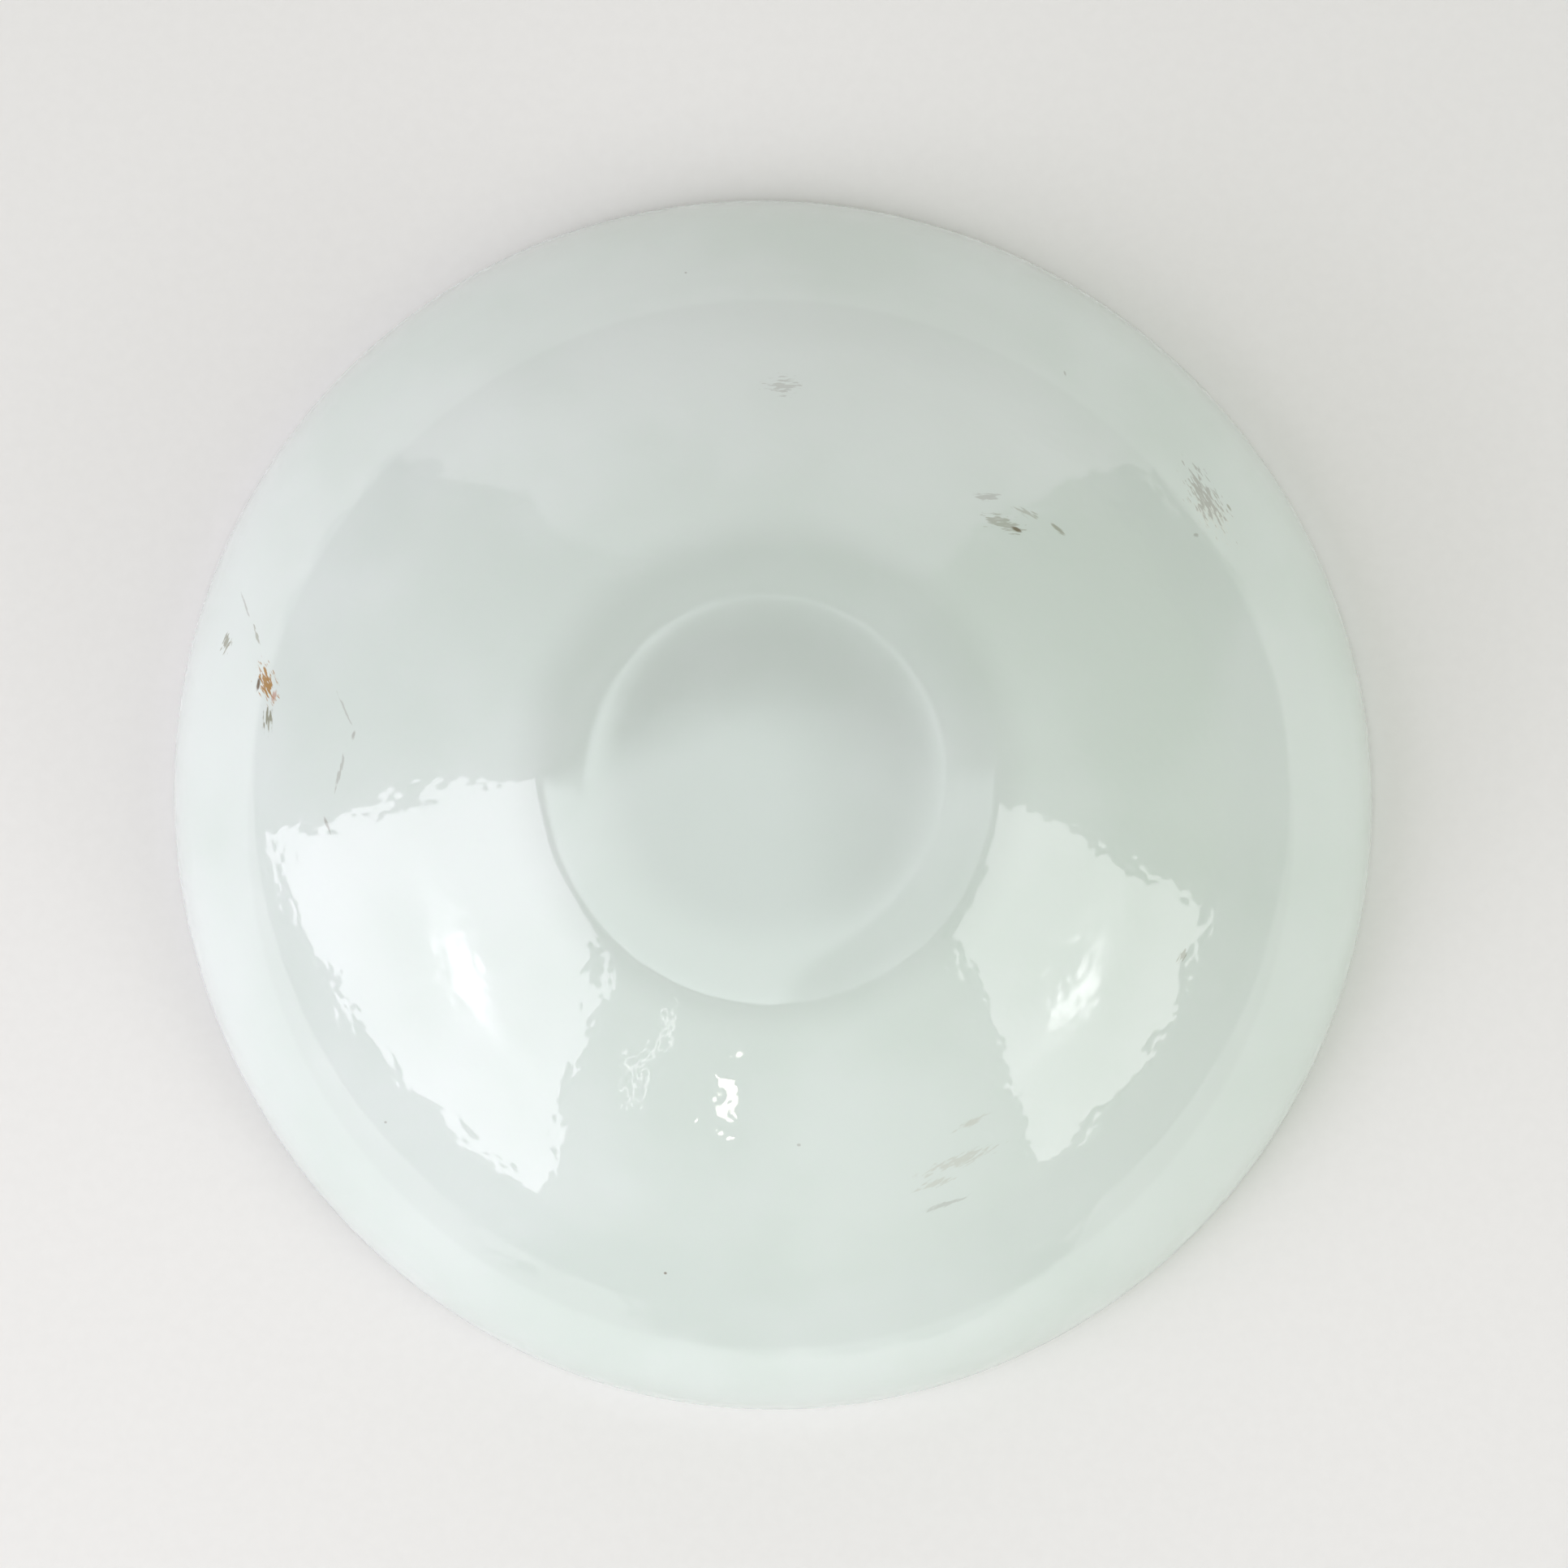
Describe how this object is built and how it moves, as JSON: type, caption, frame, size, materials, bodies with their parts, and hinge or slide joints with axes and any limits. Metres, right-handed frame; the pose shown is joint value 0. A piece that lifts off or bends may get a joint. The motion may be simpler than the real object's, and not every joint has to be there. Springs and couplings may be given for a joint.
{
  "type": "evaporating dish",
  "caption": "Shallow round evaporating dish of glossy opal glass, standing upside down on its ground rim, with a low foot ring on its pressed-flat base.",
  "frame": {"origin": "centre of the rim's ground face, which is the underside of the dish as it stands on its rim", "axes": "+Z along the dish's axis from the rim to the foot, so the hollow opens towards -Z"},
  "size_m": [0.0994, 0.1004, 0.0277],
  "materials": {
    "opal_glass": "glossy opaque opal glass, white with a little green"
  },
  "bodies": {
    "root": {"dish": "opal_glass"}
  },
  "joints": []
}
